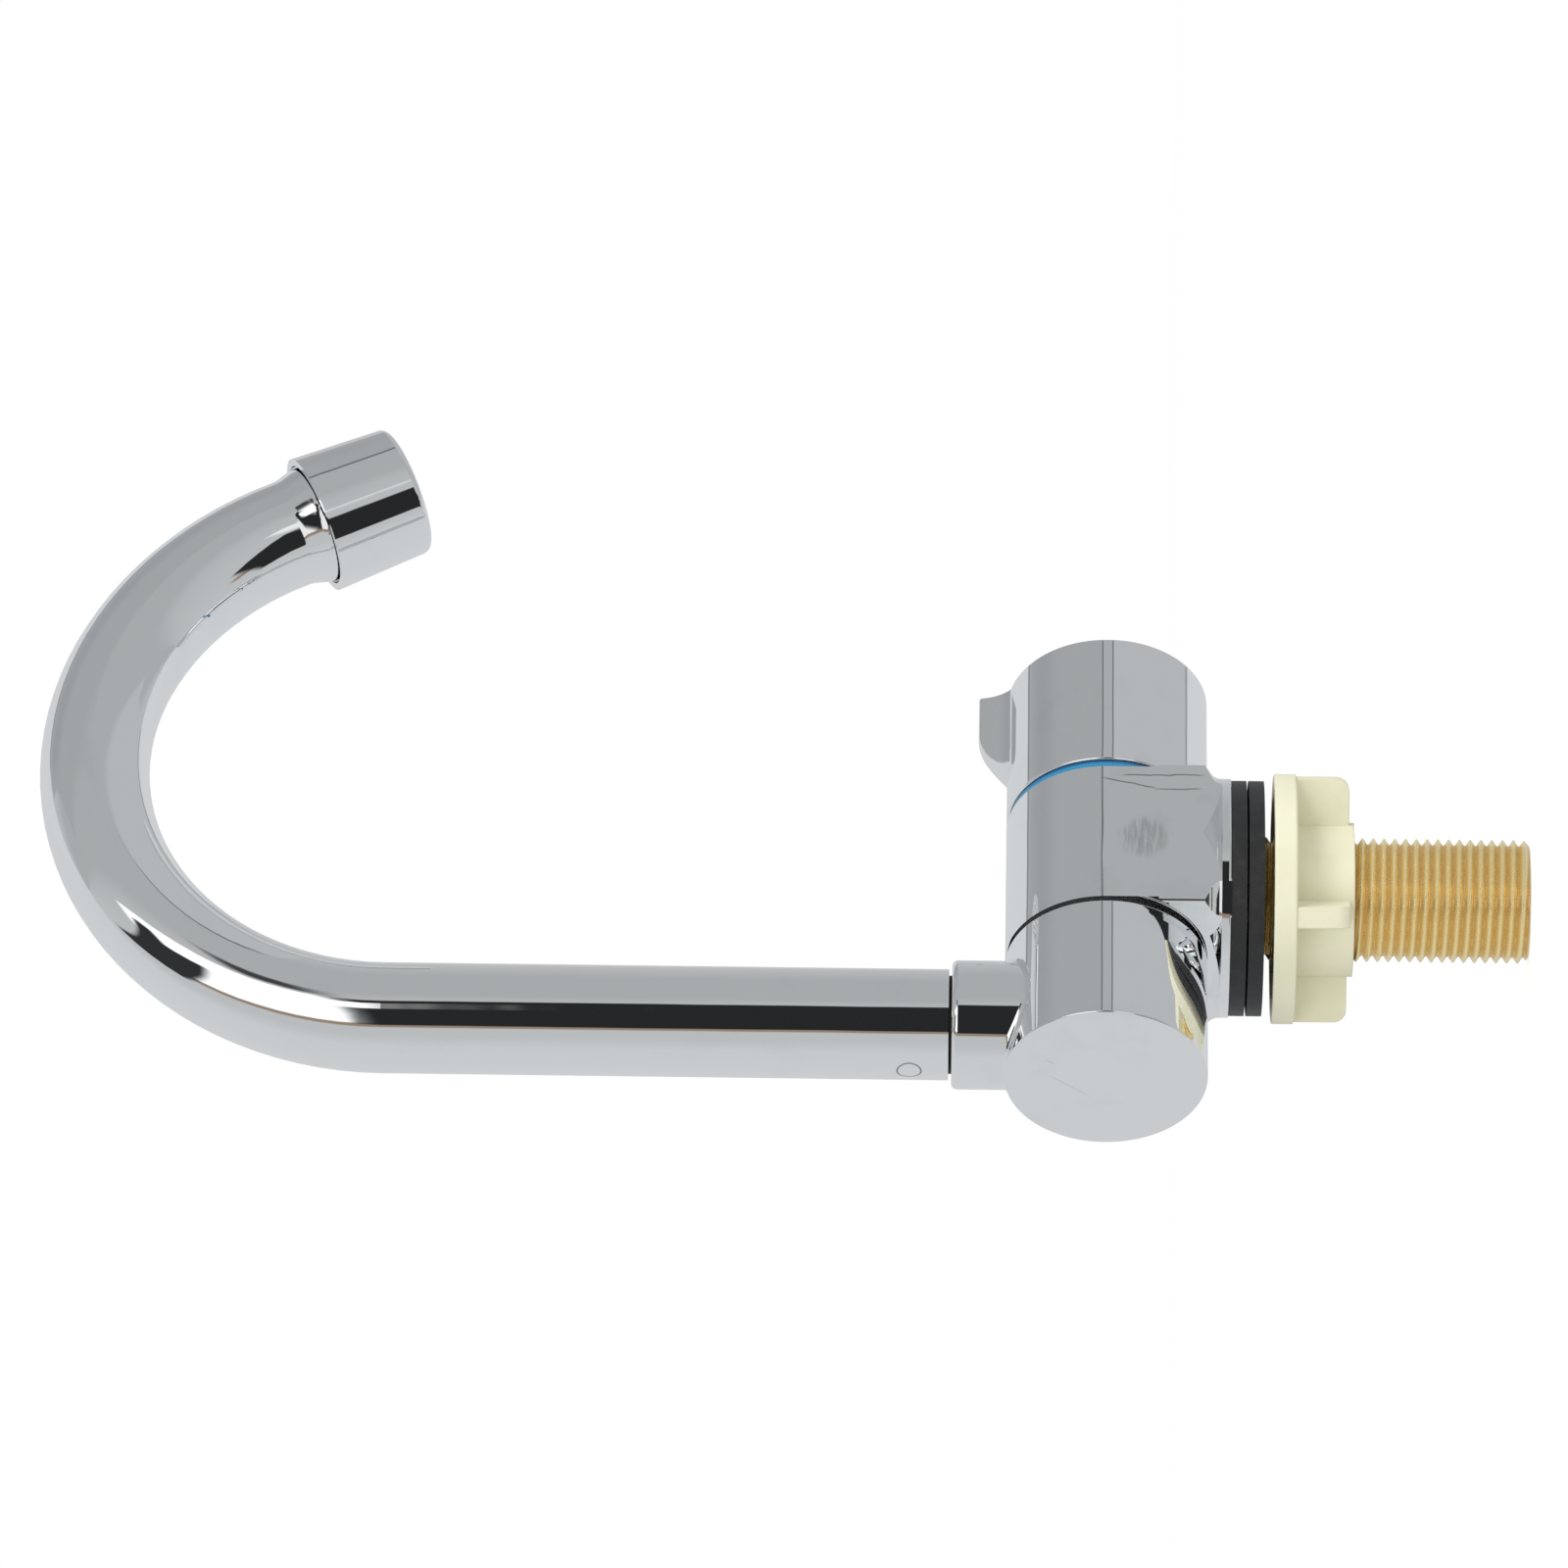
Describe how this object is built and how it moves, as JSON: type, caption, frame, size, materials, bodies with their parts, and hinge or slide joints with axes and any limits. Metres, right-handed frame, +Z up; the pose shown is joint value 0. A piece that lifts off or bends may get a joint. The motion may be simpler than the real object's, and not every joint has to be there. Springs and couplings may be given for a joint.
{
  "type": "folding caravan tap",
  "caption": "Cold-water tap for a caravan worktop: turning knob, swan-neck spout that swivels and folds down, threaded shank with washers and nut.",
  "frame": {"origin": "on the threaded shank's axis, in the plane of the worktop's top surface, which is the base gasket's underside", "axes": "+Z up along the shank's axis, +X along the barrel towards the knob, -Y towards the front"},
  "size_m": [0.1289, 0.0456, 0.2521],
  "materials": {
    "body_chrome": "polished",
    "hub_chrome": "polished",
    "knob_chrome": "polished",
    "spout_chrome": "polished",
    "sleeve_chrome": "polished",
    "pin_chrome": "polished",
    "shank_brass": "machined",
    "inner_brass": "machined",
    "screw_steel": "satin",
    "mesh_steel": "satin",
    "washer_rubber": "matt",
    "seal_rubber": "matt",
    "nut_plastic": "moulded",
    "ring_plastic": "smooth",
    "bearing_plastic": "moulded",
    "cage_plastic": "moulded",
    "disc_ceramic": "lapped"
  },
  "bodies": {
    "tap": {"tap_body": "body_chrome", "inlet_shank": "shank_brass", "base_gasket": "washer_rubber", "cold_ring": "ring_plastic", "cartridge_housing": "inner_brass", "cartridge_seal": "seal_rubber", "seat_seal": "seal_rubber", "fixed_disc": "disc_ceramic", "fold_pivot": "inner_brass", "fold_seals": "seal_rubber", "fold_washer": "bearing_plastic"},
    "clamp": {"clamp_washer": "washer_rubber"},
    "nut": {"lock_nut": "nut_plastic"},
    "handle": {"knob": "knob_chrome", "knob_screw": "screw_steel", "cartridge_spindle": "inner_brass", "spindle_seals": "seal_rubber", "moving_disc": "disc_ceramic"},
    "hub": {"spout_hub": "hub_chrome", "hub_screw": "screw_steel", "spout_spigot": "inner_brass", "spigot_seals": "seal_rubber", "spout_bush": "bearing_plastic"},
    "spout": {"spout_tube": "spout_chrome", "spout_pin": "pin_chrome", "outlet_nipple": "inner_brass", "aerator_sleeve": "sleeve_chrome", "aerator_seal": "seal_rubber", "aerator_cage": "cage_plastic", "aerator_screen": "mesh_steel"}
  },
  "joints": [
    {"name": "handle_turn", "type": "hinge", "parent": "tap", "child": "handle", "pos_m": [0, 0, 0.0233], "axis": [1, 0, 0], "range_deg": [0, 90]},
    {"name": "spout_fold", "type": "hinge", "parent": "tap", "child": "hub", "pos_m": [0, 0, 0.0233], "axis": [1, 0, 0], "range_deg": [-90, 90]},
    {"name": "spout_swivel", "type": "hinge", "parent": "hub", "child": "spout", "pos_m": [-0.02868, 0, 0.0233], "axis": [0, 0, 1], "continuous": true},
    {"name": "clamp_travel", "type": "slide", "parent": "tap", "child": "clamp", "axis": [0, 0, 1], "range_m": [-0.0274, 0.0003]},
    {"name": "lock_nut_turn", "type": "hinge", "parent": "clamp", "child": "nut", "pos_m": [0, 0, -0.0046], "axis": [0, 0, 1], "range_deg": [-5400, 50]}
  ],
  "couplings": [
    {"joint": "clamp_travel", "follows": "lock_nut_turn", "m_per_rad": 0.00028871}
  ]
}
